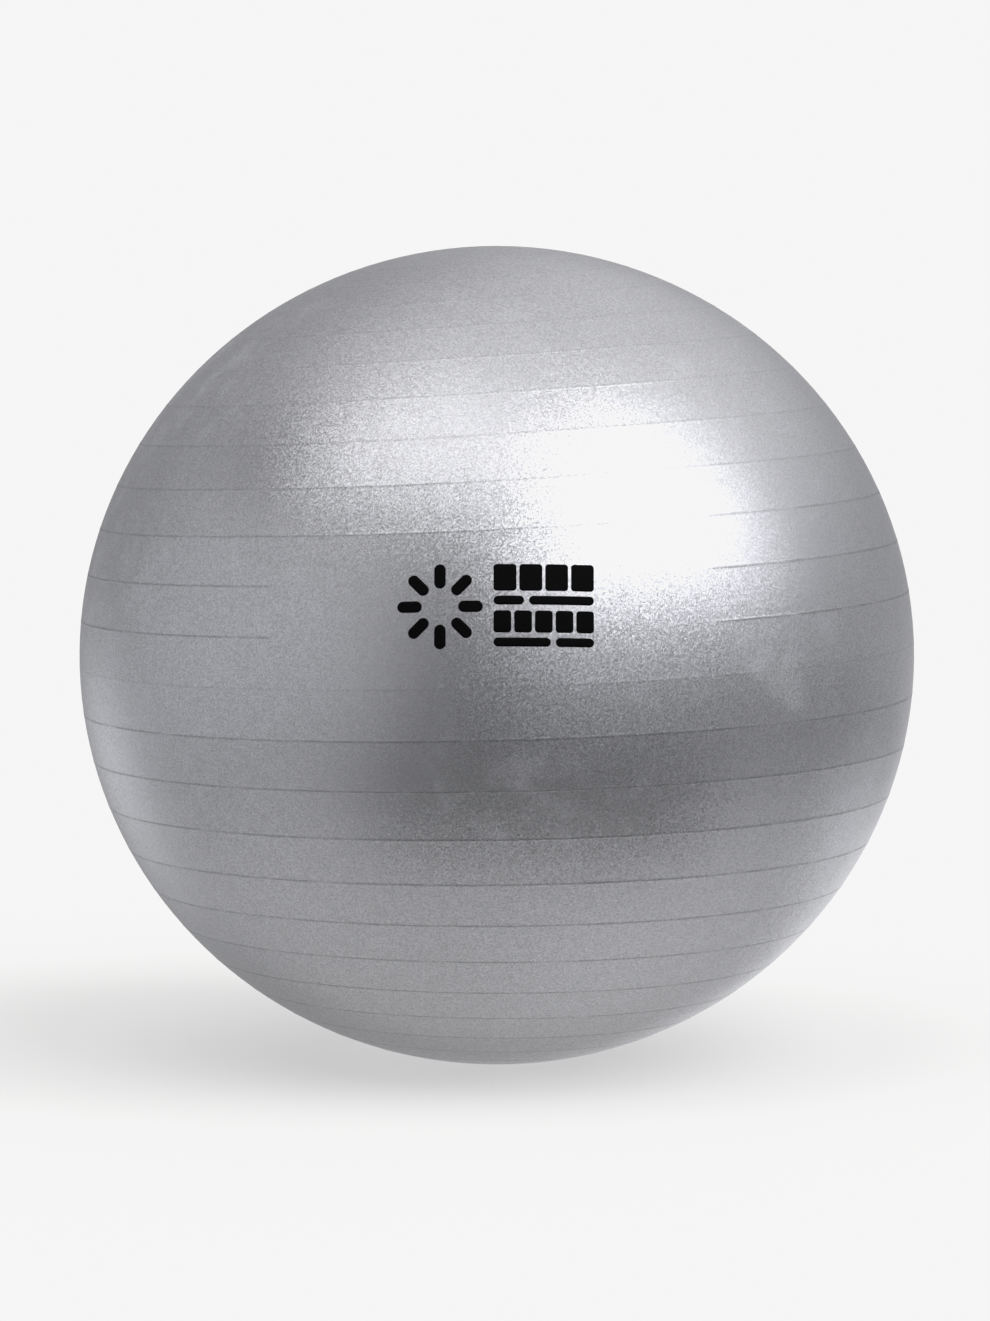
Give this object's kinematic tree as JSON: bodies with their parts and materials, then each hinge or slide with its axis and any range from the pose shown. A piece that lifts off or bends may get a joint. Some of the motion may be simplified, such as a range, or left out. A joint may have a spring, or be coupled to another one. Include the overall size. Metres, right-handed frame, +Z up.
{
  "type": "exercise ball",
  "caption": "Large inflated exercise ball with thin raised rings, a smooth printed panel, and a push-in plug in a valve seat at the back, standing on its own flattened patch.",
  "frame": {"origin": "centre of the flattened patch that the ball stands on, on the floor", "axes": "+Z up, -Y towards the printed front, +X to the right of the print as it is read"},
  "size_m": [0.5506, 0.5508, 0.5379],
  "materials": {
    "skin_pvc": "satin pearl",
    "seat_pvc": "satin",
    "plug_plastic": "satin",
    "ink": "matte"
  },
  "bodies": {
    "ball": {"ball_skin": "skin_pvc", "valve_seat": "seat_pvc", "printed_mark": "ink"},
    "plug": {"valve_plug": "plug_plastic"}
  },
  "joints": [
    {"name": "plug_pull", "type": "slide", "parent": "ball", "child": "plug", "axis": [0, 0.982, 0.1891], "range_m": [0, 0.035]}
  ]
}
